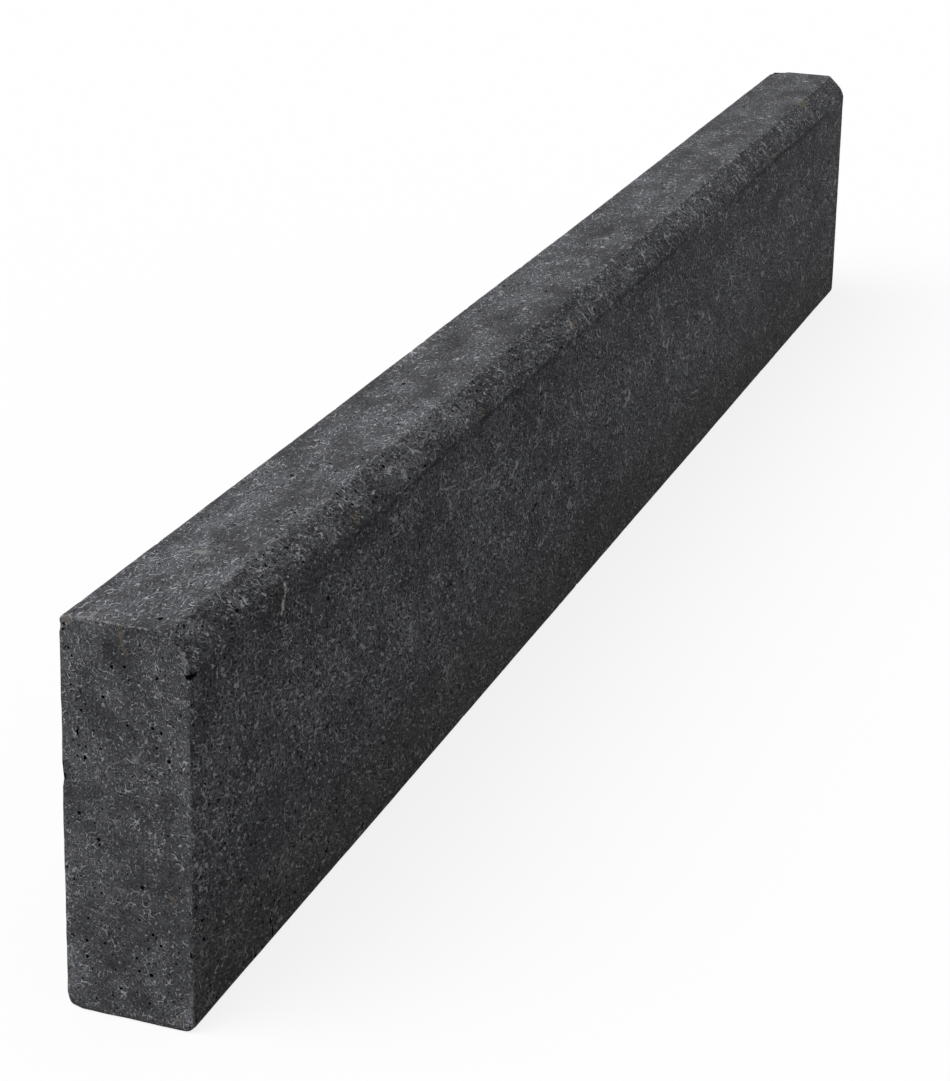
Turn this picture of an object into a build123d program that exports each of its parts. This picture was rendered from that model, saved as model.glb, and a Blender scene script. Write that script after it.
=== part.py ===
from build123d import *
import os

# Main sizes of the stone
length = 1000.0
thickness = 50.0
height = 150.0

# Bevel along the top of the front face, and the arc that rolls it into that face
bevel_width = 10.0
bevel_height = 10.0
bevel_foot_radius = 12.0

# Rounding of the long back edge at the top, and of both long edges of the bed
back_edge_radius = 3.0
bed_edge_radius = 3.0

# Small rounding of the arris around each end face
end_arris_radius = 1.0

# Corners of the cross-section: the front face is at -Y and the bed lies on Z = 0
front = -thickness / 2
back = thickness / 2
front_foot = (front, 0)
back_foot = (back, 0)
back_top = (back, height)
bevel_top = (front + bevel_width, height)
bevel_foot = (front, height - bevel_height)

# Cross-section with its rounded corners; the top of the bevel stays a crisp arris
outline = Polyline(front_foot, back_foot, back_top, bevel_top, bevel_foot, close=True)
section = make_face(outline)
section = fillet(section.vertices().sort_by_distance(bevel_foot)[0], bevel_foot_radius)
section = fillet(section.vertices().sort_by_distance(back_top)[0], back_edge_radius)
section = fillet(section.vertices().sort_by_distance(front_foot)[0], bed_edge_radius)
section = fillet(section.vertices().sort_by_distance(back_foot)[0], bed_edge_radius)

# Straight stone of one cross-section, centred on X
kerb_stone = extrude(Plane.YZ.offset(-length / 2) * section, amount=length)

# Arris around each end face
end_faces = kerb_stone.faces().sort_by(Axis.X)
end_arrises = end_faces[0].edges() + end_faces[-1].edges()
kerb_stone = fillet(end_arrises, end_arris_radius)

# One cast piece, written as one part
os.makedirs("parts", exist_ok=True)
export_step(kerb_stone, "parts/kerb_stone.step")
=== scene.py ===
import math

import bmesh
import bpy
import numpy as np
from mathutils import Matrix, Vector, noise


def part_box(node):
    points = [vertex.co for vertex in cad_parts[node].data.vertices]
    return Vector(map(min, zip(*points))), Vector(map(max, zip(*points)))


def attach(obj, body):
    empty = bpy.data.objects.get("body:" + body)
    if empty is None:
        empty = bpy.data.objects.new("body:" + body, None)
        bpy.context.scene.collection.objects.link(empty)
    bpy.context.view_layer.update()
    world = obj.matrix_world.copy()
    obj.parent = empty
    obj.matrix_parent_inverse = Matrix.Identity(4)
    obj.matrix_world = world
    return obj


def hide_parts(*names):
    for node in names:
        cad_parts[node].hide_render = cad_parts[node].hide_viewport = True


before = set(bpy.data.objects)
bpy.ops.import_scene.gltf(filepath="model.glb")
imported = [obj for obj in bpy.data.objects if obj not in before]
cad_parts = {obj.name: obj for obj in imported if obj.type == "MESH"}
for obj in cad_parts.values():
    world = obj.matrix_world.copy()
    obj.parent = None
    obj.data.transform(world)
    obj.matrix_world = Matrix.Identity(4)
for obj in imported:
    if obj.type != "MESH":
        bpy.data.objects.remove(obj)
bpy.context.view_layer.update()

# The stone's size comes from the frame, and its bevel and long edges repeat the CAD's sizes, in metres
stone_low, stone_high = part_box("kerb_stone")
LENGTH = stone_high.x - stone_low.x
THICKNESS = stone_high.y - stone_low.y
HEIGHT = stone_high.z - stone_low.z
HALF = LENGTH / 2
BEVEL_WIDTH = 0.010
BEVEL_HEIGHT = 0.010
BEVEL_FOOT_RADIUS = 0.012
LONG_EDGE_RADIUS = 0.003

# The end arrises show sharper in the photograph than the CAD's 1 mm
END_ARRIS_RADIUS = 0.0007

# Camera, fitted to the photograph's corners of the stone
CAMERA_PLACE = Vector((-1.2501, -0.3899, 0.5146))
CAMERA_YAW = math.radians(19.63)
CAMERA_PITCH = math.radians(-15.90)
CAMERA_ROLL = math.radians(1.22)
CAMERA_LENS = 89.99
CAMERA_SHIFT_Y = -0.25
CAMERA_REACH = 200

# Light: a broad soft sun from above, behind the camera and to its left, and a dim even sky
SUN_DIRECTION = Vector((-0.43, 0.38, 0.82))
SUN_ANGLE = math.radians(50)
SUN_STRENGTH = 2.15
SKY_STRENGTH = 0.45

# The floor's own glow and the light that falls on it make white together
FLOOR_DIFFUSE = 0.16
FLOOR_GLOW = 0.834
FLOOR_SIZE = 60.0


def add_object(name, data):
    """A new object in the scene."""
    made = bpy.data.objects.new(name, data)
    bpy.context.scene.collection.objects.link(made)
    return made


def build_camera():
    """The camera at the photograph's viewing angle."""
    forward = Vector((
        math.cos(CAMERA_YAW) * math.cos(CAMERA_PITCH),
        math.sin(CAMERA_YAW) * math.cos(CAMERA_PITCH),
        math.sin(CAMERA_PITCH),
    ))
    level_right = Vector((math.sin(CAMERA_YAW), -math.cos(CAMERA_YAW), 0))
    level_up = level_right.cross(forward)
    right = level_right * math.cos(CAMERA_ROLL) + level_up * math.sin(CAMERA_ROLL)
    up = level_up * math.cos(CAMERA_ROLL) - level_right * math.sin(CAMERA_ROLL)
    axes = Matrix((right, up, -forward)).transposed()
    data = bpy.data.cameras.new("camera")
    data.lens = CAMERA_LENS
    data.shift_y = CAMERA_SHIFT_Y
    data.clip_end = CAMERA_REACH
    camera = add_object("camera", data)
    camera.matrix_world = Matrix.Translation(CAMERA_PLACE) @ axes.to_4x4()
    bpy.context.scene.camera = camera


def seen_directly(nodes, links):
    """1 for camera, glossy and transmission rays, 0 for the rays that light the object."""
    path = nodes.new("ShaderNodeLightPath")
    seen = path.outputs["Is Camera Ray"]
    for ray in ("Is Glossy Ray", "Is Transmission Ray"):
        either = nodes.new("ShaderNodeMath")
        either.operation = "MAXIMUM"
        links.new(seen, either.inputs[0])
        links.new(path.outputs[ray], either.inputs[1])
        seen = either.outputs[0]
    return seen


def build_sky():
    """A white background to look at, and a dimmer even light from all round."""
    world = bpy.data.worlds.new("sky")
    bpy.context.scene.world = world
    world.use_nodes = True
    nodes = world.node_tree.nodes
    links = world.node_tree.links
    strength = nodes.new("ShaderNodeMapRange")
    strength.inputs["To Min"].default_value = SKY_STRENGTH
    strength.inputs["To Max"].default_value = 1.0
    links.new(seen_directly(nodes, links), strength.inputs["Value"])
    background = nodes["Background"]
    background.inputs["Color"].default_value = (1, 1, 1, 1)
    links.new(strength.outputs["Result"], background.inputs["Strength"])


def build_sun():
    data = bpy.data.lights.new("soft_sun", "SUN")
    data.energy = SUN_STRENGTH
    data.angle = SUN_ANGLE
    sun = add_object("soft_sun", data)
    sun.rotation_mode = "QUATERNION"
    sun.rotation_quaternion = SUN_DIRECTION.to_track_quat("Z", "Y")


def build_floor():
    """A pale floor that takes the stone's soft shadow and is white to the eye outside it."""
    material = bpy.data.materials.new("pale_floor")
    material.use_nodes = True
    nodes = material.node_tree.nodes
    links = material.node_tree.links
    nodes.clear()
    diffuse = nodes.new("ShaderNodeBsdfDiffuse")
    diffuse.inputs["Color"].default_value = (*[FLOOR_DIFFUSE] * 3, 1)
    glow_strength = nodes.new("ShaderNodeMath")
    glow_strength.operation = "MULTIPLY"
    glow_strength.inputs[1].default_value = FLOOR_GLOW
    links.new(seen_directly(nodes, links), glow_strength.inputs[0])
    glow = nodes.new("ShaderNodeEmission")
    links.new(glow_strength.outputs[0], glow.inputs["Strength"])
    both = nodes.new("ShaderNodeAddShader")
    links.new(diffuse.outputs[0], both.inputs[0])
    links.new(glow.outputs[0], both.inputs[1])
    output = nodes.new("ShaderNodeOutputMaterial")
    links.new(both.outputs[0], output.inputs["Surface"])
    half = FLOOR_SIZE / 2
    mesh = bpy.data.meshes.new("floor")
    corners = [(-half, -half, 0), (half, -half, 0), (half, half, 0), (-half, half, 0)]
    mesh.from_pydata(corners, [], [(0, 1, 2, 3)])
    mesh.materials.append(material)
    add_object("floor", mesh)


# Spans of the skin's closed grid, along each stretch of the section's outline and along the length
FACE_SPANS = 38
LEDGE_SPANS = 8
FOOT_ARC_SPANS = 8
BEVEL_SPANS = 6
CORNER_SPANS = 2
BED_SPANS = 24
LENGTH_SPANS = 462

# How strongly the spans crowd towards both ends of a stretch, and of the stone
SECTION_CROWDING = 1.1
FACE_CROWDING = 0.5
LEDGE_CROWDING = 0.1
BEVEL_CROWDING = 0.8
LENGTH_CROWDING = 0.9

# Extra spans this close beside the end arrises keep the faces flat up to them
ARRIS_MARGIN = 0.0003

# The front is divided more finely over this height below the bevel's foot
LEDGE_ZONE = 0.007


def crowded(count, crowding):
    """Shares from 0 to 1 in count spans, closer together at both ends."""
    even = np.linspace(-1, 1, count + 1)
    return 0.5 + 0.5 * np.tanh(crowding * even) / math.tanh(crowding)


def straight(start, end, count, crowding=SECTION_CROWDING):
    """Points from start to end, closer together at both ends."""
    shares = crowded(count, crowding)[:, None]
    return np.array(start) * (1 - shares) + np.array(end) * shares


def arc(centre, radius, start_angle, end_angle, count):
    """Points on an arc; angles are in degrees from +Y towards +Z."""
    angles = np.radians(np.linspace(start_angle, end_angle, count + 1))
    return np.array(centre) + radius * np.stack([np.cos(angles), np.sin(angles)], -1)


def joined(*runs):
    """One run of points from several that meet end to start."""
    return np.concatenate([runs[0]] + [run[1:] for run in runs[1:]])


# Where the bevel lies in the section
FRONT = -THICKNESS / 2
BACK = THICKNESS / 2
BEVEL_SLOPE = math.atan2(BEVEL_HEIGHT, BEVEL_WIDTH)
ROLL_IN = BEVEL_FOOT_RADIUS * math.tan((math.pi / 2 - BEVEL_SLOPE) / 2)
BEVEL_FOOT_Z = HEIGHT - BEVEL_HEIGHT
FOOT_ARC_Z = BEVEL_FOOT_Z - ROLL_IN
BEVEL_ARRIS = (FRONT + BEVEL_WIDTH, HEIGHT)


def section_sides():
    """The section's four sides as (y, z) points: bed and top towards the back, front and back upwards."""
    r = LONG_EDGE_RADIUS
    arc_end = (FRONT + ROLL_IN * math.cos(BEVEL_SLOPE), BEVEL_FOOT_Z + ROLL_IN * math.sin(BEVEL_SLOPE))
    arc_centre = (FRONT + BEVEL_FOOT_RADIUS, FOOT_ARC_Z)
    bed = joined(
        arc((FRONT + r, r), r, 225, 270, CORNER_SPANS),
        straight((FRONT + r, 0), (BACK - r, 0), BED_SPANS),
        arc((BACK - r, r), r, -90, -45, CORNER_SPANS),
    )
    front_side = joined(
        arc((FRONT + r, r), r, 225, 180, CORNER_SPANS),
        straight((FRONT, r), (FRONT, FOOT_ARC_Z - LEDGE_ZONE), FACE_SPANS, FACE_CROWDING),
        straight((FRONT, FOOT_ARC_Z - LEDGE_ZONE), (FRONT, FOOT_ARC_Z), LEDGE_SPANS, LEDGE_CROWDING),
        arc(arc_centre, BEVEL_FOOT_RADIUS, 180, 90 + math.degrees(BEVEL_SLOPE), FOOT_ARC_SPANS),
        straight(arc_end, BEVEL_ARRIS, BEVEL_SPANS, BEVEL_CROWDING),
    )
    back_spans = FACE_SPANS + LEDGE_SPANS + FOOT_ARC_SPANS + BEVEL_SPANS - CORNER_SPANS
    back_side = joined(
        arc((BACK - r, r), r, -45, 0, CORNER_SPANS),
        straight((BACK, r), (BACK, HEIGHT - r), back_spans),
        arc((BACK - r, HEIGHT - r), r, 0, 45, CORNER_SPANS),
    )
    top = joined(
        straight(BEVEL_ARRIS, (BACK - r, HEIGHT), BED_SPANS + CORNER_SPANS),
        arc((BACK - r, HEIGHT - r), r, 90, 45, CORNER_SPANS),
    )
    return bed, front_side, back_side, top


def filled_section(bed, front_side, back_side, top):
    """A grid of points over the whole section, as smooth blends of its four sides."""
    across = np.linspace(0, 1, len(bed))[:, None, None]
    up = np.linspace(0, 1, len(front_side))[None, :, None]
    between_bed_and_top = bed[:, None] * (1 - up) + top[:, None] * up
    between_front_and_back = front_side[None] * (1 - across) + back_side[None] * across
    corners = (
        bed[0] * (1 - across) * (1 - up) + bed[-1] * across * (1 - up)
        + top[0] * (1 - across) * up + top[-1] * across * up
    )
    return between_bed_and_top + between_front_and_back - corners


def ring_of(grid):
    """The grid's outline, once round: along the bed, up the back, along the top and down the front."""
    return np.concatenate([grid[:, 0], grid[-1, 1:], grid[-2::-1, -1], grid[0, -2:0:-1]])


def outward(ring):
    """The outline's outward normals."""
    along = np.roll(ring, -1, 0) - np.roll(ring, 1, 0)
    normals = np.stack([along[:, 1], -along[:, 0]], -1)
    return normals / np.linalg.norm(normals, axis=1, keepdims=True)


def long_sides(ring):
    """The rings of points from one end of the stone to the other, and the faces between them."""
    normals = outward(ring)
    r = END_ARRIS_RADIUS
    halfway = math.sqrt(0.5)
    rounding = [
        (HALF, r + ARRIS_MARGIN),
        (HALF, r),
        (HALF - r * (1 - halfway), r * (1 - halfway)),
        (HALF - r, 0.0),
    ]
    middle = (crowded(LENGTH_SPANS, LENGTH_CROWDING) * 2 - 1) * (HALF - r - ARRIS_MARGIN)
    rows = [(-x, inset) for x, inset in rounding]
    rows += [(x, 0.0) for x in middle]
    rows += [(x, inset) for x, inset in reversed(rounding)]
    points = [np.column_stack([np.full(len(ring), x), ring - normals * inset]) for x, inset in rows]
    count = len(ring)
    faces = []
    for row in range(len(rows) - 1):
        for k in range(count):
            a = row * count + k
            b = row * count + (k + 1) % count
            faces.append((a, b, b + count, a + count))
    return np.concatenate(points), faces


def end_face(grid, side, first_in_ring, first_inside):
    """The points inside one end's outline and all the end's faces; side is -1 near and 1 far."""
    wide, high = grid.shape[:2]
    number = np.zeros((wide, high), int)
    places = np.stack(np.meshgrid(range(wide), range(high), indexing="ij"), -1)
    for k, (i, j) in enumerate(ring_of(places)):
        number[i, j] = first_in_ring + k
    number[1:-1, 1:-1] = first_inside + np.arange((wide - 2) * (high - 2)).reshape(wide - 2, high - 2)
    size = np.array([THICKNESS, HEIGHT])
    centre = np.array([0, HEIGHT / 2])
    inner = centre + (grid[1:-1, 1:-1] - centre) * (size - 2 * (END_ARRIS_RADIUS + ARRIS_MARGIN)) / size
    inner = inner.reshape(-1, 2)
    faces = []
    for i in range(wide - 1):
        for j in range(high - 1):
            square = (number[i, j], number[i, j + 1], number[i + 1, j + 1], number[i + 1, j])
            faces.append(square if side < 0 else square[::-1])
    return np.column_stack([np.full(len(inner), side * HALF), inner]), faces


def smooth_skin():
    """Points and faces of the whole skin, as it leaves the mould."""
    grid = filled_section(*section_sides())
    ring = ring_of(grid)
    points, faces = long_sides(ring)
    near_points, near_faces = end_face(grid, -1, 0, len(points))
    far_points, far_faces = end_face(grid, 1, len(points) - len(ring), len(points) + len(near_points))
    all_points = np.concatenate([points, near_points, far_points])
    return all_points, faces + near_faces + far_faces


# Unevenness: swells of the faces as width and depth, dents in the bevel, and the top's hollow
SWELLS = [(0.140, 0.00020), (0.035, 0.00010), (0.009, 0.00007)]
BEVEL_DENT_SIZES = (0.010, 0.0055)
BEVEL_DENT_DEPTH = 0.00035
TOP_HOLLOW = 0.0015
TOP_HOLLOW_FROM_Z = 0.100

# The ledge at the bevel's foot, and its wandering as wavelength, height and seed of the noise
LEDGE_DEPTH = 0.00080
LEDGE_HEIGHT = 0.0012
LEDGE_WANDERS = [(0.060, 0.0012, 11), (0.017, 0.0007, 15)]
LEDGE_CHANGE_LENGTH = 0.130
LEDGE_FADE_X = (0.430, 0.485)
LEDGE_FADE_BELOW = (0.060, 0.004)

# Where the ledge shows crisply in the photograph, in X, and how gently it comes and goes
CRISP_STRETCHES = [(-0.130, 0.105), (0.245, 0.410)]
STRETCH_FADE = 0.010

# The painted shadow line under the ledge, with gaps as length and seed of the noise, and a fainter band of
# painted shade below it
LEDGE_SHADOW_HEIGHT = 0.0042
LEDGE_SHADOW_FULL_HEIGHT = 0.0006
LEDGE_SHADOW_GAPS = [(0.050, 13), (0.012, 14)]
LEDGE_SHADOW_NEAR_FADE = 0.15
BAND_HEIGHT = 0.014
BAND_FULL_HEIGHT = 0.004
BAND_SHARE = 0.36
BAND_FADE_X = (-0.30, -0.05)
LEDGE_SHADOW_REACH_BACK = 0.002

# Wear of the end arrises, then of the bevel's arris: depth, reach and wavelengths
ARRIS_WEAR = 0.00018
ARRIS_WEAR_REACH = 0.0009
ARRIS_WEAR_SIZES = (0.006, 0.020)
BEVEL_WEAR = 0.0004
BEVEL_WEAR_REACH = 0.0010
BEVEL_WEAR_SIZES = (0.011, 0.040)

# The bevel's arris also has this share of the end arrises' wear and pale lines
BEVEL_ARRIS_SHARE = 0.72


def noise_at(points, size, seed):
    """Smooth noise from about -1 to 1 at each point, with features of that size."""
    shift = Vector((seed * 7.3, seed * 3.1, seed * 5.7))
    return np.array([noise.noise(Vector(point) / size + shift) for point in points])


def smooth_step(value, low, high):
    """0 below low, 1 above high and a smooth rise between; low may be the larger."""
    share = np.clip((value - low) / (high - low), 0, 1)
    return share * share * (3 - 2 * share)


def swell_depth(points):
    """The gentle unevenness of cast faces, at three sizes."""
    depth = np.zeros(len(points))
    for seed, (size, height) in enumerate(SWELLS):
        depth += height * (0.6 + noise_at(points, size, seed + 1)).clip(0)
    return depth


def bevel_lumps(points, normals):
    """Dents that make the bevel rougher than the faces beside it."""
    sloping = (-2 * normals[:, 1] * normals[:, 2]).clip(0)
    wide, narrow = BEVEL_DENT_SIZES
    dents = (0.3 + noise_at(points, wide, 31) + 0.5 * noise_at(points, narrow, 32)).clip(0)
    return BEVEL_DENT_DEPTH * sloping * dents


def ledge_edge(along):
    """The height of the wandering ledge at the bevel's foot."""
    edge = FOOT_ARC_Z
    for size, height, seed in LEDGE_WANDERS:
        edge = edge + noise_at(along, size, seed) * height
    return edge


def ledge_stretch(points):
    """1 along the stretches where the ledge shows crisply, 0 away from them."""
    share = np.zeros(len(points))
    for start, end in CRISP_STRETCHES:
        after_start = smooth_step(points[:, 0], start - STRETCH_FADE, start + STRETCH_FADE)
        before_end = smooth_step(points[:, 0], end + STRETCH_FADE, end - STRETCH_FADE)
        share = np.maximum(share, after_start * before_end)
    return share


def ledge_depth(points, normals):
    """The front face stands a little back from the bevel's foot, unevenly along the length."""
    along = points * np.array([1, 0, 0])
    strength = smooth_step(noise_at(along, LEDGE_CHANGE_LENGTH, 12), -0.5, 0.25) * 0.60 + 0.40
    strength = np.maximum(strength, ledge_stretch(points))
    strength *= 1 - 0.75 * smooth_step(points[:, 0], *LEDGE_FADE_X)
    edge = ledge_edge(along)
    below = smooth_step(points[:, 2], edge + LEDGE_HEIGHT / 2, edge - LEDGE_HEIGHT / 2)
    fades = smooth_step(points[:, 2], edge - LEDGE_FADE_BELOW[0], edge - LEDGE_FADE_BELOW[1])
    facing_front = (-normals[:, 1]).clip(0)
    return LEDGE_DEPTH * strength * below * (0.45 + 0.55 * fades) * facing_front


def ledge_shadow(points):
    """1 in the broken painted shadow line just under the ledge, falling to 0 away from it."""
    along = points * np.array([1, 0, 0])
    under = ledge_edge(along) - points[:, 2]
    line = smooth_step(under, -LEDGE_HEIGHT / 2, LEDGE_HEIGHT / 4)
    line *= smooth_step(under, LEDGE_SHADOW_HEIGHT, LEDGE_SHADOW_FULL_HEIGHT)
    long_gaps, short_gaps = [noise_at(along, size, seed) for size, seed in LEDGE_SHADOW_GAPS]
    gaps = long_gaps + 0.6 * short_gaps + 0.55 * ledge_stretch(points)
    broken = smooth_step(gaps, -0.10, 0.35)
    from_near_end = smooth_step(points[:, 0], -HALF, -HALF + LEDGE_SHADOW_NEAR_FADE)
    band = smooth_step(under, -0.0010, 0.0025)
    band *= smooth_step(under, BAND_HEIGHT, BAND_FULL_HEIGHT)
    band *= BAND_SHARE * (1 - 0.7 * smooth_step(points[:, 0], *BAND_FADE_X))
    line *= broken * (0.35 + 0.65 * from_near_end)
    return np.maximum(line, band) * (points[:, 1] < FRONT + LEDGE_SHADOW_REACH_BACK)


def end_distance(points, ring):
    """How far each point is from the arris round its nearest end."""
    from_end = HALF - np.abs(points[:, 0])
    across = np.zeros(len(points))
    on_end = np.flatnonzero(from_end < END_ARRIS_RADIUS / 10)
    gaps = np.linalg.norm(points[on_end, None, 1:] - ring[None], axis=2)
    across[on_end] = gaps.min(1)
    return np.hypot(from_end, across)


def bevel_arris_distance(points):
    """How far each point is from the arris at the top of the bevel."""
    return np.hypot(points[:, 1] - BEVEL_ARRIS[0], points[:, 2] - BEVEL_ARRIS[1])


def falling_away(distance, reach):
    """1 at no distance, falling softly to 0."""
    return np.exp(-((distance / reach) ** 2))


def rubbed(points, ring):
    """1 on the arrises round the ends and less at the top of the bevel, falling to 0 beside them."""
    bevel_share = BEVEL_ARRIS_SHARE * falling_away(bevel_arris_distance(points), ARRIS_WEAR_REACH)
    end_share = falling_away(end_distance(points, ring), ARRIS_WEAR_REACH)
    return np.maximum(bevel_share, end_share)


def arris_depth(points, ring):
    """Rubbed arrises, unevenly along their length."""
    short, long = ARRIS_WEAR_SIZES
    unevenly = (0.55 + noise_at(points, short, 21) + 0.6 * noise_at(points, long, 22)).clip(0.05)
    short, long = BEVEL_WEAR_SIZES
    wavy = (0.35 + noise_at(points, short, 23) + 0.8 * noise_at(points, long, 24)).clip(0.0)
    bevel_depth = BEVEL_WEAR * falling_away(bevel_arris_distance(points), BEVEL_WEAR_REACH) * wavy
    return ARRIS_WEAR * rubbed(points, ring) * unevenly + bevel_depth


# Chips on the arrises: how many per metre, fewer along the bed, and their sizes
CHIP_SEED = 5
CHIPS_PER_METRE = 34
BED_CHIPS_PER_METRE = 8
CHIP_INSET_SHARE = 0.3
CHIP_RADIUS = (0.0007, 0.0019)
CHIP_DEPTH_SHARE = (0.15, 0.32)


def arrises():
    """The long arrises and those round both ends, as pairs of points and chips per metre."""
    r = LONG_EDGE_RADIUS * CHIP_INSET_SHARE
    corners = [(FRONT + r, r), (BACK - r, r), (BACK - r, HEIGHT - r), BEVEL_ARRIS, (FRONT + r, FOOT_ARC_Z)]
    lines = [((-HALF, *corner), (HALF, *corner), BED_CHIPS_PER_METRE) for corner in corners[:2]]
    lines += [((-HALF, *corner), (HALF, *corner), CHIPS_PER_METRE) for corner in corners[2:4]]
    for side in (-HALF, HALF):
        for k, corner in enumerate(corners):
            lines.append(((side, *corner), (side, *corners[(k + 1) % len(corners)]), CHIPS_PER_METRE))
    return lines


def chips():
    """Centre, radius and depth of each chip."""
    random = np.random.default_rng(CHIP_SEED)
    found = []
    for start, end, per_metre in arrises():
        start = np.array(start)
        end = np.array(end)
        count = round(np.linalg.norm(end - start) * per_metre)
        for _ in range(count):
            centre = start + (end - start) * random.uniform()
            radius = CHIP_RADIUS[0] + (CHIP_RADIUS[1] - CHIP_RADIUS[0]) * random.uniform() ** 2
            found.append((centre, radius, radius * random.uniform(*CHIP_DEPTH_SHARE)))
    return found


# Worn corners and single chips that the photograph shows, as centre, radius and depth, in metres
CORNER_WEAR = [
    ((HALF, BACK, HEIGHT), 0.011, 0.0026),
    ((-HALF, BACK, 0.0), 0.006, 0.0008),
    ((-HALF, FRONT, 0.0), 0.0035, 0.0004),
    ((-HALF, 0.0135, HEIGHT), 0.0045, 0.0009),
    ((-HALF, FRONT, 0.135), 0.0019, 0.0017),
    ((-HALF, BACK, 0.1455), 0.0022, 0.0005),
    ((-HALF, BACK, 0.0895), 0.003, 0.0006),
]


def chip_depth(points):
    """How deep the chips and the worn corners go at each point."""
    depth = np.zeros(len(points))
    for centre, radius, deepest in chips() + CORNER_WEAR:
        away = ((points - np.array(centre)) ** 2).sum(1) / radius ** 2
        near = away < 1
        depth[near] = np.maximum(depth[near], deepest * (1 - away[near]))
    return depth


def hollow_top(points):
    """The top dips gently towards the middle of the length."""
    along = 1 - (points[:, 0] / HALF) ** 2
    up = ((points[:, 2] - TOP_HOLLOW_FROM_Z) / (HEIGHT - TOP_HOLLOW_FROM_Z)).clip(0)
    return TOP_HOLLOW * along * up ** 2


def worn(points, normals, ring):
    """The points moved inwards by all the wear, never out of the mould's shape."""
    depth = swell_depth(points) + bevel_lumps(points, normals) + ledge_depth(points, normals)
    depth += arris_depth(points, ring) + chip_depth(points)
    moved = points - normals * depth[:, None]
    moved[:, 2] -= hollow_top(points)
    moved[:, 2] = moved[:, 2].clip(0)
    return moved


# Round pores that open at the surface, with painted shade on their floors and walls
PORE_SEED = 8
PORE_COUNT = 300
PORE_SIDES = 8
PORE_RADIUS = (0.0003, 0.0009)
PORE_LARGEST_SHARE = 0.38
PORE_ROOM_SHARE = 0.8
PORE_CANDIDATES = 12
PORE_DEPTH_SHARE = (0.9, 1.6)
PORE_FLOOR_SHARE = 0.70
PORE_RIM_TONE = 0.35

# Angles round a pore are counted from a line across this direction, which points along no face
PORE_START = Vector((0.48, 0.60, 0.64))

# Pores that stand out in the photograph, as place and radius: near end (y, z), then bevel, top and front
NEAR_END_PORES = [
    (0.0159, 0.0981, 0.0009),
    (0.0184, 0.0982, 0.0006),
    (0.0151, 0.1022, 0.0007),
    (0.0172, 0.1034, 0.0007),
    (0.0243, 0.098, 0.0006),
    (0.0227, 0.1465, 0.0006),
    (0.0232, 0.1444, 0.0006),
    (0.0211, 0.1379, 0.0007),
    (0.0199, 0.1352, 0.0005),
    (0.0167, 0.1155, 0.0007),
    (0.0097, 0.1024, 0.0005),
    (0.0083, 0.122, 0.0007),
    (-0.0007, 0.113, 0.0006),
    (-0.0101, 0.1136, 0.0007),
    (-0.0133, 0.1125, 0.0007),
    (-0.0121, 0.1324, 0.0007),
    (0.0001, 0.1344, 0.0007),
    (0.0163, 0.0279, 0.0007),
    (0.0163, 0.0216, 0.0007),
    (0.0158, 0.0366, 0.0006),
    (0.0222, 0.029, 0.0006),
    (0.0033, 0.0119, 0.0007),
    (-0.0084, 0.0197, 0.0008),
    (-0.0039, 0.0203, 0.0006),
    (-0.0192, 0.0308, 0.0006),
    (-0.0238, 0.0312, 0.0008),
    (-0.0238, 0.0464, 0.0006),
    (-0.0093, 0.0355, 0.0007),
    (-0.0122, 0.0317, 0.0007),
    (-0.003, 0.0252, 0.0007),
    (-0.0076, 0.0085, 0.0006),
]
PLACED_PORES = [((-HALF, y, z), radius) for y, z, radius in NEAR_END_PORES] + [
    ((-0.4883, -0.0171, 0.1479), 0.0007),
    ((-0.4775, -0.0244, 0.1385), 0.0009),
    ((-0.3529, -0.0165, 0.1485), 0.0009),
    ((-0.3501, -0.0193, 0.1457), 0.0009),
    ((-0.3464, -0.0162, 0.1488), 0.0009),
    ((-0.3409, -0.0193, 0.1457), 0.0008),
    ((-0.336, -0.0168, 0.1482), 0.0008),
    ((-0.3111, -0.0189, 0.1461), 0.0011),
    ((-0.306, -0.0163, 0.1487), 0.0011),
    ((-0.2342, -0.0197, 0.1453), 0.0009),
    ((-0.2205, -0.0232, 0.1415), 0.0008),
    ((-0.2097, -0.0184, 0.1466), 0.0009),
    ((-0.2038, -0.02, 0.145), 0.001),
    ((-0.1545, -0.02, 0.145), 0.001),
    ((-0.133, -0.0163, 0.1487), 0.0009),
    ((-0.1132, -0.0214, 0.1436), 0.001),
    ((0.022, -0.0165, 0.1485), 0.0012),
    ((-0.3985, 0.0197, HEIGHT), 0.001),
    ((-0.3435, 0.0072, HEIGHT), 0.0009),
    ((-0.3325, -0.0069, HEIGHT), 0.0009),
    ((-0.4053, -0.014, HEIGHT), 0.0009),
    ((-0.1814, 0.0173, HEIGHT), 0.0009),
    ((0.1117, -0.0128, HEIGHT), 0.001),
    ((-0.4123, FRONT, 0.127), 0.001),
    ((-0.4086, FRONT, 0.1243), 0.0009),
    ((-0.4187, FRONT, 0.1227), 0.0009),
    ((-0.426, FRONT, 0.1252), 0.0007),
    ((-0.1656, FRONT, 0.1258), 0.001),
    ((-0.1306, FRONT, 0.1213), 0.0012),
    ((-0.1087, FRONT, 0.122), 0.0011),
    ((-0.1303, FRONT, 0.1116), 0.001),
    ((-0.1529, FRONT, 0.1086), 0.001),
    ((-0.3081, FRONT, 0.0816), 0.001),
    ((0.2059, FRONT, 0.136), 0.0012),
]


def add_face(skin, verts):
    """A new smoothly shaded face."""
    skin.faces.new(verts).smooth = True


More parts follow.
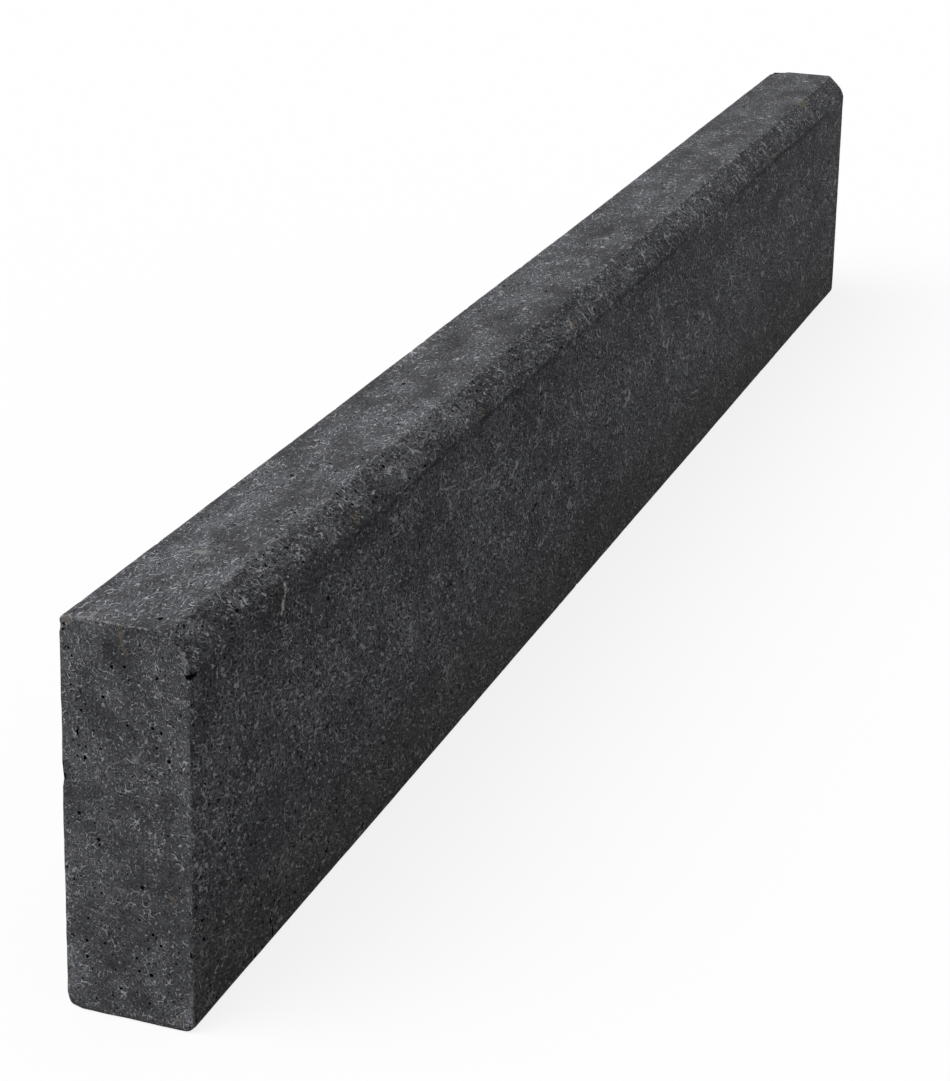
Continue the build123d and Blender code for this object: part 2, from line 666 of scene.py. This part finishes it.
def add_floor(skin, rim, centre, normal, depth, pore_layer):
    """The walls and the floor of a pit under its rim of points."""
    floor = []
    for vert in rim:
        place = centre + (vert.co - centre) * PORE_FLOOR_SHARE - normal * depth
        floor.append(skin.verts.new(place))
        floor[-1][pore_layer] = 1.0
        vert[pore_layer] = PORE_RIM_TONE
    add_face(skin, floor)
    for k in range(PORE_SIDES):
        after = (k + 1) % PORE_SIDES
        add_face(skin, (rim[k], rim[after], floor[after], floor[k]))
        skin.edges.get((rim[k], rim[after])).smooth = False


def add_wide_pore(skin, middle, place, radius, random, pore_layer):
    """Cuts one round pit into the four faces round a point of the skin."""
    normal = middle.normal.copy()
    centre = place - normal * (place - middle.co).dot(normal)
    around = {vert for face in middle.link_faces for vert in face.verts} - {middle}
    across = PORE_START.cross(normal).normalized()
    level = normal.cross(across)
    turned = []
    for vert in around:
        offset = vert.co - centre
        turned.append((math.atan2(offset.dot(level), offset.dot(across)), vert))
    outside = [vert for _, vert in sorted(turned, key=lambda pair: pair[0])]
    room = min((vert.co - centre).length for vert in outside)
    radius = min(radius, room * PORE_ROOM_SHARE)
    rim = []
    for vert in outside:
        direction = vert.co - centre
        direction = (direction - normal * direction.dot(normal)).normalized()
        rim.append(skin.verts.new(centre + direction * radius * random.uniform(0.75, 1.2)))
    skin.verts.remove(middle)
    add_floor(skin, rim, centre, normal, radius * PORE_DEPTH_SHARE[1], pore_layer)
    for k in range(PORE_SIDES):
        after = (k + 1) % PORE_SIDES
        add_face(skin, (outside[k], outside[after], rim[after], rim[k]))


def add_pore(skin, face, radius, depth, random, pore_layer):
    """Cuts one round pit into a four-sided face."""
    corners = [loop.vert for loop in face.loops]
    centre = face.calc_center_median()
    normal = face.normal.copy()
    rim = []
    for k, corner in enumerate(corners):
        after = corners[(k + 1) % 4]
        for target in (corner.co, (corner.co + after.co) / 2):
            direction = target - centre
            direction = (direction - normal * direction.dot(normal)).normalized()
            rim.append(skin.verts.new(centre + direction * radius * random.uniform(0.8, 1.15)))
    skin.faces.remove(face)
    add_floor(skin, rim, centre, normal, depth, pore_layer)
    for k, corner in enumerate(corners):
        after = corners[(k + 1) % 4]
        add_face(skin, (corner, after, rim[(2 * k + 2) % PORE_SIDES], rim[2 * k + 1]))
        add_face(skin, (corner, rim[2 * k + 1], rim[2 * k]))


def is_pitted(face, pore_layer):
    """Whether the face touches a pore."""
    return any(vert[pore_layer] for vert in face.verts)


def add_pores(mesh):
    """Opens the placed pores, and others at random all over, most of them small."""
    random = np.random.default_rng(PORE_SEED)
    skin = bmesh.new()
    skin.from_mesh(mesh)
    pore_layer = skin.verts.layers.float.new("pore")
    verts = list(skin.verts)
    places = np.array([vert.co for vert in verts])
    for place, radius in PLACED_PORES:
        away = ((places - np.array(place)) ** 2).sum(1)
        for k in np.argsort(away)[:PORE_CANDIDATES]:
            middle = verts[k]
            if middle.is_valid and [len(face.verts) for face in middle.link_faces] == [4, 4, 4, 4]:
                if not any(is_pitted(face, pore_layer) for face in middle.link_faces):
                    add_wide_pore(skin, middle, Vector(place), radius, random, pore_layer)
                    break
    faces = [face for face in skin.faces if len(face.verts) == 4 and not is_pitted(face, pore_layer)]
    areas = np.array([face.calc_area() for face in faces])
    widths = np.array([min(edge.calc_length() for edge in face.edges) for face in faces])
    room = widths * PORE_LARGEST_SHARE
    chance = areas * (room > PORE_RADIUS[0])
    picked = random.choice(len(faces), PORE_COUNT, replace=False, p=chance / chance.sum())
    for k in picked:
        radius = PORE_RADIUS[0] + (PORE_RADIUS[1] - PORE_RADIUS[0]) * random.uniform() ** 2
        radius = min(radius, room[k])
        add_pore(skin, faces[k], radius, radius * random.uniform(*PORE_DEPTH_SHARE), random, pore_layer)
    skin.to_mesh(mesh)
    skin.free()


def mesh_normals(mesh):
    normals = np.zeros(len(mesh.vertices) * 3)
    mesh.vertices.foreach_get("normal", normals)
    return normals.reshape(-1, 3)


def paint(mesh, name, values):
    """Stores one number at each point of the mesh, for the material."""
    attribute = mesh.attributes.new(name, "FLOAT", "POINT")
    attribute.data.foreach_set("value", values.astype(np.float32))


def build_stone():
    """The stone's skin, worn, chipped and pitted."""
    points, faces = smooth_skin()
    ring = ring_of(filled_section(*section_sides()))
    mesh = bpy.data.meshes.new("kerb_stone_skin")
    mesh.from_pydata(points.tolist(), [], faces)
    mesh.update()
    moved = worn(points, mesh_normals(mesh), ring)
    mesh.vertices.foreach_set("co", moved.ravel())
    mesh.shade_smooth()
    paint(mesh, "rubbed", rubbed(points, ring))
    # Where the painted shadow under the ledge falls, stored for the material
    paint(mesh, "ledge_shadow", ledge_shadow(points))
    add_pores(mesh)
    mesh.update()
    return add_object("kerb_stone_skin", mesh)


def on_near_end(reach, marks):
    """Marks on the near end as centre and half sizes, from y, z, half width and half height."""
    return [((-HALF, y, z), (reach, wide, high)) for y, z, wide, high in marks]


def on_top(reach, marks):
    """Marks on the top as centre and half sizes, from x, y, half length and half width."""
    return [((x, y, HEIGHT), (long, wide, reach)) for x, y, long, wide in marks]


def on_front(reach, marks):
    """Marks on the front as centre and half sizes, from x, z, half length and half height."""
    return [((x, FRONT, z), (long, reach, high)) for x, z, long, high in marks]


# Colours of the concrete, its marks, its rubbed arrises, the dirt near the floor, and the painted shade in
# its pits and holes
DARK_CEMENT = (0.0730, 0.0740, 0.0795)
PALE_SAND = (0.42, 0.42, 0.41)
HOLE_SHADE_AND_SPECK = (0.006, 0.006, 0.007)
PALE_MARK = (0.175, 0.175, 0.170)
BEIGE_MARK = (0.185, 0.160, 0.125)
LIME = (0.58, 0.58, 0.55)
RUBBED = (0.25, 0.25, 0.245)
DIRT_TINT = (1.05, 1.00, 0.92)

# Pale and beige marks, with a full centre and half sizes where they cross an edge
PALE_MARKS = on_near_end(0.002, [
    (-0.0206, 0.1252, 0.003, 0.0007),
    (-0.0021, 0.119, 0.0008, 0.0013),
    (-0.0125, 0.1266, 0.0007, 0.0006),
    (0.0183, 0.1242, 0.0007, 0.0006),
    (0.0092, 0.1017, 0.0009, 0.0006),
    (-0.0232, 0.0559, 0.0013, 0.0011),
    (0.0035, 0.0503, 0.0025, 0.0008),
    (-0.0224, 0.1415, 0.0012, 0.0028),
    (-0.0241, 0.015, 0.0009, 0.004),
    (-0.024, 0.0045, 0.001, 0.0016),
]) + on_top(0.002, [
    (-0.4988, 0.015, 0.0016, 0.0034),
    (-0.4935, 0.0138, 0.0035, 0.001),
    (-0.462, -0.0004, 0.005, 0.0012),
    (-0.43, 0.0045, 0.003, 0.0028),
    (-0.4082, -0.0135, 0.003, 0.0022),
    (-0.3571, -0.0055, 0.003, 0.0018),
    (-0.165, -0.014, 0.0045, 0.0017),
    (-0.1675, 0.0048, 0.006, 0.0011),
    (0.035, -0.012, 0.01, 0.0012),
    (0.218, -0.0135, 0.008, 0.0016),
    (0.421, -0.0106, 0.004, 0.001),
]) + on_front(0.002, [
    (-0.4455, 0.031, 0.0008, 0.0034),
    (-0.3555, 0.095, 0.0009, 0.0024),
    (-0.1155, 0.098, 0.0012, 0.0018),
]) + [
    ((-0.4235, -0.023, 0.1418), (0.0019, 0.003, 0.0009)),
]
BEIGE_MARKS = on_near_end(0.002, [
    (0.001, 0.1466, 0.001, 0.0026),
    (0.0004, 0.1432, 0.0009, 0.0024),
    (-0.0002, 0.14, 0.001, 0.0012),
    (-0.017, 0.0508, 0.0014, 0.0019),
    (-0.0176, 0.0042, 0.0017, 0.0008),
]) + on_front(0.002, [
    (-0.4712, 0.0453, 0.0013, 0.0026),
]) + [
    ((-0.4992, 0.0212, 0.1484), (0.002, 0.0022, 0.0014)),
    ((-0.3525, -0.0247, 0.1392), (0.004, 0.003, 0.0022)),
    ((-0.1889, -0.0237, 0.1413), (0.0025, 0.003, 0.0018)),
    ((-0.212, -0.025, 0.1375), (0.003, 0.003, 0.003)),
    ((-0.0814, -0.0243, 0.1407), (0.0045, 0.003, 0.0024)),
    ((0.3, -0.0248, 0.1372), (0.022, 0.002, 0.0007)),
    ((0.3583, -0.0246, 0.1372), (0.004, 0.003, 0.0014)),
    ((0.413, -0.0168, 0.1485), (0.0085, 0.004, 0.003)),
    ((0.4148, -0.024, 0.14), (0.0045, 0.003, 0.0016)),
]

# The lime streak that runs down the front from the bevel's foot
LIME_STREAK = on_front(0.003, [
    (-0.4213, 0.138, 0.0013, 0.002),
    (-0.4218, 0.1346, 0.0014, 0.003),
    (-0.4228, 0.1308, 0.0013, 0.0028),
    (-0.424, 0.1276, 0.001, 0.0012),
    (-0.425, 0.1246, 0.0008, 0.0009),
])

# Dark mouths, painted shade where holes open: slits in the front, the cavity on the near front arris, and
# pits on the near back arris
DARK_MOUTHS = on_front(0.003, [
    (-0.4347, 0.01, 0.0009, 0.0022),
    (-0.4328, 0.005, 0.0008, 0.003),
    (-0.1385, 0.0669, 0.0024, 0.0009),
    (-0.1352, 0.0683, 0.0024, 0.0009),
    (-0.2855, 0.103, 0.0009, 0.0017),
]) + [
    ((-0.4994, -0.0246, 0.1345), (0.0026, 0.0022, 0.0012)),
    ((-0.497, -0.0246, 0.1345), (0.0032, 0.0022, 0.001)),
    ((-HALF, 0.0246, 0.0941), (0.002, 0.001, 0.0009)),
    ((-HALF, 0.0243, 0.0898), (0.002, 0.0012, 0.001)),
]

# Each kind of mark with its colour, strength and raggedness
MARK_KINDS = [
    (PALE_MARKS, PALE_MARK, 0.70, 1.0),
    (BEIGE_MARKS, BEIGE_MARK, 0.55, 1.0),
    (LIME_STREAK, LIME, 0.85, 0.7),
]

# Drifts where pale flecks lie thick, and dark patches bare of them, on the front and the top
PALE_DRIFTS = on_top(0.004, [
    (-0.466, 0.0068, 0.02, 0.01),
    (-0.4345, 0.0076, 0.018, 0.012),
    (-0.388, 0.0058, 0.02, 0.008),
    (-0.263, -0.0085, 0.035, 0.007),
    (-0.061, 0.003, 0.04, 0.01),
    (0.147, 0.0047, 0.045, 0.01),
]) + on_front(0.004, [
    (-0.47, 0.101, 0.024, 0.019),
    (-0.448, 0.125, 0.022, 0.008),
    (-0.369, 0.084, 0.032, 0.014),
    (-0.373, 0.048, 0.018, 0.012),
    (-0.338, 0.102, 0.028, 0.011),
    (-0.198, 0.094, 0.048, 0.018),
    (-0.21, 0.04, 0.025, 0.013),
    (-0.046, 0.093, 0.042, 0.015),
    (0.066, 0.1, 0.038, 0.015),
    (0.135, 0.057, 0.04, 0.015),
    (0.241, 0.096, 0.046, 0.017),
    (0.363, 0.097, 0.032, 0.021),
])
DARK_PATCHES = on_top(0.004, [
    (-0.375, 0.023, 0.025, 0.005),
    (-0.238, 0.02, 0.035, 0.006),
    (0.056, 0.0072, 0.03, 0.008),
]) + on_front(0.004, [
    (-0.254, 0.069, 0.018, 0.01),
    (-0.278, 0.105, 0.017, 0.009),
    (-0.288, 0.034, 0.032, 0.011),
    (-0.4857, 0.125, 0.008, 0.012),
    (-0.44, 0.045, 0.022, 0.022),
    (-0.349, 0.124, 0.022, 0.006),
    (-0.117, 0.13, 0.034, 0.006),
    (-0.028, 0.03, 0.04, 0.02),
    (0.34, 0.04, 0.04, 0.013),
])

# The drifts and patches add this much to the drift noise
DRIFT_CHANGES = [(PALE_DRIFTS, 0.12), (DARK_PATCHES, -0.13)]

# Tones: painted shade on front and back towards the bed, their tones from end to end, the bevel, and the top
# from end to end with painted shade at its far end
FOOT_SHADE = 0.54
FOOT_SHADE_HEIGHT = 0.070
SIDE_TONES = (0.92, 1.14)
BEVEL_TONE = 0.86
TOP_TONES = (1.02, 0.90)

# Painted shadows: the dark line where the stone meets the floor and the one under the ledge; and the height
# of the dirt
CONTACT_SHADOW_TONE = 0.45
CONTACT_SHADOW_HEIGHT = 0.0024
LEDGE_SHADOW_TONE = 0.45
DIRT_HEIGHT = 0.045

# The end faces are a little paler towards their upright rims
END_RIM_TONE = 1.22
END_RIM_FROM_Y = 0.014

# The grain is drawn out along the stone, and slants down a little towards +X
GRAIN_SQUEEZE = 0.50
GRAIN_SLANT = 0.27

# On front, back and bevel the grain is finer lengthwise, coarser upwards and stronger, the extra strength
# partly painted relief shade
SIDE_FINENESS_ALONG = 1.05
SIDE_FINENESS_UP = 0.80
SIDE_CONTRAST = 1.8

# Faces are told apart by how far their normals point sideways, endways or upwards
FACING = 0.60
TOP_FACING = 0.90
BEVEL_FACING = (0.20, 0.42)

# Tones across a curled fleck, as places on the ramp: a pale ridge, partly pale grain and partly painted
# highlight, beside a dark groove of painted shade
FLECK_LEVELS = ((0.450, 0.24), (0.474, 2.10), (0.488, 2.10), (0.514, 0.05), (0.536, 0.05), (0.575, 0.24))
FLECK_NEUTRAL = 0.25
BRIGHTEST_FLECK = 4.8
BRIGHTEST_MARK = 1.5

# Widths of the noises behind the tones, grain, flecks and specks, in metres
CLOUD_SIZE = 0.10
DRIFT_SIZE = 0.013
WISP_SIZE = 0.008
GRAIN_SIZE = 0.0015
COARSE_GRAIN_SIZE = 0.0016
BROAD_FLECK_SIZE = 0.0065
LARGE_FLECK_SIZE = 0.0030
SMALL_FLECK_SIZE = 0.0014
SPECKLE_SIZE = 0.0013
PIT_SPACING = 0.0050
BUMP_DEPTH = 0.00008

# Where most of a noise's values lie, and the drift values between which the flecks grow dense
NOISE_RANGE = (0.3, 0.7)
DENSE_RANGE = (0.36, 0.60)

# Sand grains and specks are the highest and lowest speckle values, with more on front and back
SAND_RANGE = (0.725, 0.770)
SAND_MORE = 0.018
SPECK_RANGE = (0.21, 0.29)
SPECK_MORE = 0.015

# Roughness from one drift to the next, and the shine outside the dark holes
ROUGHNESS_RANGE = (0.84, 0.96)
SHINE = 0.10


class Graph:
    """Adds nodes to one material's tree and joins them."""

    def __init__(self, material):
        self.nodes = material.node_tree.nodes
        self.links = material.node_tree.links
        self.surface = self.put("ShaderNodeTexCoord", {}, "Object")
        self.axes = self.put("ShaderNodeSeparateXYZ", {0: self.surface}).node.outputs
        self.tell_faces_apart()
        self.point = self.squeezed_point()

    def put(self, kind, inputs, output=0, **settings):
        """A node with its settings and inputs, each a number, a colour or another node's output."""
        made = self.nodes.new(kind)
        for name, value in settings.items():
            setattr(made, name, value)
        for name, value in inputs.items():
            if isinstance(value, bpy.types.NodeSocket):
                self.links.new(value, made.inputs[name])
            else:
                made.inputs[name].default_value = value
        return made.outputs[output]

    def tell_faces_apart(self):
        """Masks that are 1 on one kind of face: front and back with the bevel, bevel alone, top, and ends."""
        facing = self.put("ShaderNodeTexCoord", {}, "Normal")
        parts = self.put("ShaderNodeSeparateXYZ", {0: facing}).node.outputs
        sideways = self.math("ABSOLUTE", parts["Y"])
        self.mould_face = self.math("GREATER_THAN", sideways, FACING)
        self.bevel_face = self.spread(self.times(sideways, parts["Z"]), *BEVEL_FACING, 0.0, 1.0)
        self.top_face = self.math("GREATER_THAN", parts["Z"], TOP_FACING)
        self.end_face = self.math("GREATER_THAN", self.math("ABSOLUTE", parts["X"]), FACING)

    def squeezed_point(self):
        """The surface point in the stone's own frame, squeezed along its length and slanted."""
        slanted = self.math("ADD", self.axes["Z"], self.times(self.axes["X"], GRAIN_SLANT))
        squeezed = self.times(self.axes["X"], GRAIN_SQUEEZE)
        along = self.spread(self.mould_face, 0.0, 1.0, 1.0, SIDE_FINENESS_ALONG)
        up = self.spread(self.mould_face, 0.0, 1.0, 1.0, SIDE_FINENESS_UP)
        return self.put("ShaderNodeCombineXYZ", {
            "X": self.times(squeezed, along),
            "Y": self.axes["Y"],
            "Z": self.times(slanted, up),
        })

    def place(self, offset):
        """The squeezed point, moved so that the noises differ."""
        return self.put("ShaderNodeVectorMath", {0: self.point, 1: offset}, operation="ADD")

    def noise(self, size, offset, detail=1.0):
        """Soft noise, about 0.5 on average, with features of that size in metres."""
        return self.put("ShaderNodeTexNoise", {
            "Vector": self.place(offset),
            "Scale": 1 / size,
            "Detail": detail,
        })

    def spread(self, value, low, high, to_low, to_high, kind="LINEAR"):
        """value from low..high brought to to_low..to_high, and held there beyond them."""
        inputs = {"Value": value, "From Min": low, "From Max": high, "To Min": to_low, "To Max": to_high}
        return self.put("ShaderNodeMapRange", inputs, interpolation_type=kind)

    def lengthwise(self, near, far):
        """near at the stone's near end, far at its far end, and even between them."""
        return self.spread(self.axes["X"], -HALF, HALF, near, far)

    def painted(self, name):
        """The number stored at the mesh's points under that name."""
        return self.put("ShaderNodeAttribute", {}, "Fac", attribute_name=name)

    def ramp(self, value, levels):
        """value read off a ramp of grey levels."""
        tones = self.put("ShaderNodeValToRGB", {"Fac": value})
        elements = tones.node.color_ramp.elements
        for place, _ in levels[2:]:
            elements.new(place)
        for element, (place, level) in zip(elements, levels):
            element.position = place
            element.color = (level, level, level, 1)
        return tones

    def math(self, operation, first, second=0.0):
        return self.put("ShaderNodeMath", {0: first, 1: second}, operation=operation)

    def times(self, *values):
        product = values[0]
        for value in values[1:]:
            product = self.math("MULTIPLY", product, value)
        return product

    def blend(self, share, first, second, kind="MIX"):
        """Two colours blended."""
        inputs = {0: share, 6: first, 7: second}
        return self.put("ShaderNodeMix", inputs, 2, data_type="RGBA", blend_type=kind)

    def mix(self, share, first, second):
        """Two numbers blended."""
        return self.put("ShaderNodeMix", {0: share, 2: first, 3: second})

    def grey(self, value):
        return self.put("ShaderNodeCombineColor", {"Red": value, "Green": value, "Blue": value})


def curled_flecks(graph, size, offset, cover, dense, breaks=0.75):
    """Brightness, about 1 on average, of short curls with painted highlight and shade across them: one level
    of a noise, broken up by a second one.
    """
    tones = graph.ramp(graph.noise(size, offset, 0.5), FLECK_LEVELS)
    broken = graph.noise(size * breaks, (offset[1] + 3, offset[2], offset[0]), 0.5)
    kept = graph.spread(broken, cover, cover + 0.12, 0.0, 1.0, "SMOOTHSTEP")
    level = graph.mix(graph.times(kept, dense), FLECK_NEUTRAL, tones)
    return graph.times(level, 1 / FLECK_NEUTRAL)


def round_pits(graph, spacing, offset, radius_share, kept_share):
    """Small round pits: the middles of some cells, 1 inside and 0 outside."""
    cells = graph.nodes.new("ShaderNodeTexVoronoi")
    graph.links.new(graph.place(offset), cells.inputs["Vector"])
    cells.inputs["Scale"].default_value = 1 / spacing
    chosen = graph.put("ShaderNodeSeparateColor", {"Color": cells.outputs["Color"]})
    size = graph.spread(chosen, 1 - kept_share, 1.0, 0.0, radius_share)
    inside = graph.math("SUBTRACT", size, cells.outputs["Distance"])
    return graph.spread(inside, -0.03, 0.03, 0.0, 1.0, "SMOOTHSTEP")


def nearest_of(graph, marks):
    """How far the point is from the centre of the nearest mark, as a share of that mark's half sizes."""
    nearest = 10.0
    for centre, half_sizes in marks:
        shares = [1 / half_size for half_size in half_sizes]
        away = graph.put("ShaderNodeVectorMath", {0: graph.surface, 1: centre}, operation="SUBTRACT")
        away = graph.put("ShaderNodeVectorMath", {0: away, 1: shares}, operation="MULTIPLY")
        distance = graph.put("ShaderNodeVectorMath", {0: away}, "Value", operation="LENGTH")
        nearest = graph.math("MINIMUM", nearest, distance)
    return nearest


def blots(graph, marks, ragged):
    """1 inside any of the marks and 0 outside, with edges made ragged by a noise."""
    edge = graph.math("ADD", nearest_of(graph, marks), ragged)
    return graph.spread(edge, 0.75, 1.05, 1.0, 0.0, "SMOOTHSTEP")


def concrete_material():
    """Dark cement with fine grain, pale curled flecks in drifts, marks, and small dark pits."""
    material = bpy.data.materials.new("concrete")
    material.use_nodes = True
    graph = Graph(material)

    # Slow changes of tone, and the fine grain of the cement
    cloud = graph.spread(graph.noise(CLOUD_SIZE, (1, 2, 3), 3.0), *NOISE_RANGE, 0.84, 1.16)
    drift = graph.noise(DRIFT_SIZE, (4, 5, 6), 2.0)
    wisps = graph.spread(graph.noise(WISP_SIZE, (7, 2, 1), 1.0), *NOISE_RANGE, -0.5, 0.5)
    for marks, change in DRIFT_CHANGES:
        edge = graph.math("ADD", nearest_of(graph, marks), wisps)
        drift = graph.math("ADD", drift, graph.spread(edge, 0.3, 1.2, change, 0.0, "SMOOTHSTEP"))
    patch = graph.spread(drift, *NOISE_RANGE, 0.63, 1.37)
    curls = graph.math("ABSOLUTE", graph.math("SUBTRACT", graph.noise(GRAIN_SIZE, (1, 5, 9), 1.8), 0.5))
    grain = graph.spread(curls, 0.0, 0.13, 1.34, 0.72, "SMOOTHSTEP")
    coarse = graph.spread(graph.noise(COARSE_GRAIN_SIZE, (6, 1, 4), 2.0), *NOISE_RANGE, 0.80, 1.20)
    grain = graph.times(grain, graph.mix(graph.mould_face, 1.0, coarse))

    # Pale curled flecks of three sizes, in drifts: fewer at the top's far end, and more broad ones far off
    dense = graph.spread(drift, *DENSE_RANGE, 0.35, 1.0, "SMOOTHSTEP")
    calmer = graph.mix(graph.top_face, 1.0, graph.lengthwise(1.0, 0.55))
    dense = graph.times(dense, calmer)
    large = curled_flecks(graph, LARGE_FLECK_SIZE, (2, 7, 1), 0.545, dense)
    finer = graph.mix(graph.mould_face, dense, graph.spread(drift, *DENSE_RANGE, 0.6, 1.0))
    small = curled_flecks(graph, SMALL_FLECK_SIZE, (5, 3, 8), 0.47, finer)
    few = graph.times(dense, graph.lengthwise(0.2, 1.0))
    few = graph.times(few, graph.mix(graph.mould_face, 0.6, 1.0))
    broad = curled_flecks(graph, BROAD_FLECK_SIZE, (9, 4, 2), 0.52, few, 0.55)
    # The stronger grain on front, back and bevel is partly painted relief shade
    contrast = graph.mix(graph.mould_face, 1.0, SIDE_CONTRAST)
    tone = graph.times(cloud, patch, graph.math("POWER", grain, contrast), broad, large, small)
    tone = graph.math("MINIMUM", tone, BRIGHTEST_FLECK)

    # Tones of the faces, with painted shade towards the bed, at the top's far end, along the floor line and
    # under the ledge
    # Painted shade on front, back and bevel towards the bed
    foot = graph.spread(graph.axes["Z"], 0.0, FOOT_SHADE_HEIGHT, FOOT_SHADE, 1.0)
    side_tone = graph.mix(graph.bevel_face, graph.lengthwise(*SIDE_TONES), BEVEL_TONE)
    shade = graph.mix(graph.mould_face, 1.0, graph.times(foot, side_tone))
    # Painted shade: the top is darker towards the far end, evening out its brightness there
    shade = graph.times(shade, graph.mix(graph.top_face, 1.0, graph.lengthwise(*TOP_TONES)))
    # Painted contact shadow along the line where the stone meets the floor
    contact_shadow = graph.spread(graph.axes["Z"], 0.0, CONTACT_SHADOW_HEIGHT, CONTACT_SHADOW_TONE, 1.0, "SMOOTHSTEP")
    shade = graph.times(shade, contact_shadow)
    # Painted shadow under the ledge
    shade = graph.times(shade, graph.spread(graph.painted("ledge_shadow"), 0.0, 1.0, 1.0, LEDGE_SHADOW_TONE))
    from_middle = graph.math("ABSOLUTE", graph.axes["Y"])
    upright_rim = graph.spread(from_middle, END_RIM_FROM_Y, BACK, 1.0, END_RIM_TONE, "SMOOTHSTEP")
    shade = graph.times(shade, graph.mix(graph.end_face, 1.0, upright_rim))
    tone = graph.times(tone, shade)
    colour = graph.blend(1.0, (*DARK_CEMENT, 1), graph.grey(tone), "MULTIPLY")

    # Dirt near the floor, then the single marks
    low_down = graph.times(graph.mould_face, graph.spread(graph.axes["Z"], 0.0, DIRT_HEIGHT, 1.0, 0.0))
    colour = graph.blend(low_down, colour, graph.blend(1.0, colour, (*DIRT_TINT, 1), "MULTIPLY"))
    speckle = graph.noise(SPECKLE_SIZE, (8, 2, 6), 0.5)
    ragged = graph.times(graph.math("SUBTRACT", speckle, 0.5), 2.4)
    mark_tone = graph.grey(graph.math("MINIMUM", tone, BRIGHTEST_MARK))
    for marks, tint, strength, raggedness in MARK_KINDS:
        share = graph.times(blots(graph, marks, graph.times(ragged, raggedness)), strength)
        colour = graph.blend(share, colour, graph.blend(1.0, (*tint, 1), mark_tone, "MULTIPLY"))

    # Pale sand grains, dimmer near the floor under the painted shade there
    level = graph.math("ADD", speckle, graph.times(graph.mould_face, SAND_MORE))
    sand = graph.spread(level, *SAND_RANGE, 0.0, 1.0, "SMOOTHSTEP")
    sand = graph.times(sand, graph.mix(graph.mould_face, 0.7, graph.times(foot, 0.9)))
    colour = graph.blend(sand, colour, (*PALE_SAND, 1))

    # Pale broken lines along the rubbed arrises, most of them round the top
    rub = graph.times(graph.painted("rubbed"), graph.spread(graph.axes["Z"], 0.09, 0.14, 0.80, 1.0))
    worn_through = graph.math("ADD", rub, graph.times(ragged, 1.3))
    worn_through = graph.spread(worn_through, 0.80, 1.10, 0.0, 1.0, "SMOOTHSTEP")
    colour = graph.blend(graph.times(worn_through, 0.65), colour, (*RUBBED, 1))

    # Dark specks between the grains, and painted shade in the small round pits, the pores and the mouths of
    # holes
    level = graph.math("SUBTRACT", speckle, graph.times(graph.mould_face, SPECK_MORE))
    specks = graph.spread(level, *SPECK_RANGE, 1.0, 0.0, "SMOOTHSTEP")
    pits = round_pits(graph, PIT_SPACING, (3, 1, 2), 0.16, 0.16)
    pore_shade = graph.spread(graph.painted("pore"), PORE_RIM_TONE, PORE_RIM_TONE + 0.15, 0.0, 1.0)
    dark = graph.math("MAXIMUM", graph.math("MAXIMUM", pits, specks), pore_shade)
    dark = graph.math("MAXIMUM", dark, blots(graph, DARK_MOUTHS, graph.times(ragged, 0.3)))
    colour = graph.blend(dark, colour, (*HOLE_SHADE_AND_SPECK, 1))

    # Relief of the grain and the pits, and a surface with no shine in the dark holes
    height = graph.math("SUBTRACT", grain, pits)
    relief = graph.put("ShaderNodeBump", {"Strength": 1.0, "Distance": BUMP_DEPTH, "Height": height})
    roughness = graph.spread(drift, *NOISE_RANGE, *ROUGHNESS_RANGE)
    shader = graph.nodes["Principled BSDF"]
    shine = graph.spread(dark, 0.0, 1.0, SHINE, 0.0)
    graph.links.new(shine, shader.inputs["Specular IOR Level"])
    graph.links.new(colour, shader.inputs["Base Color"])
    graph.links.new(roughness, shader.inputs["Roughness"])
    graph.links.new(relief, shader.inputs["Normal"])
    return material


bpy.context.scene.view_settings.view_transform = "Standard"
build_camera()
build_sky()
build_sun()
build_floor()

stone = build_stone()
stone.data.materials.append(concrete_material())
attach(stone, "root")
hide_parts("kerb_stone")
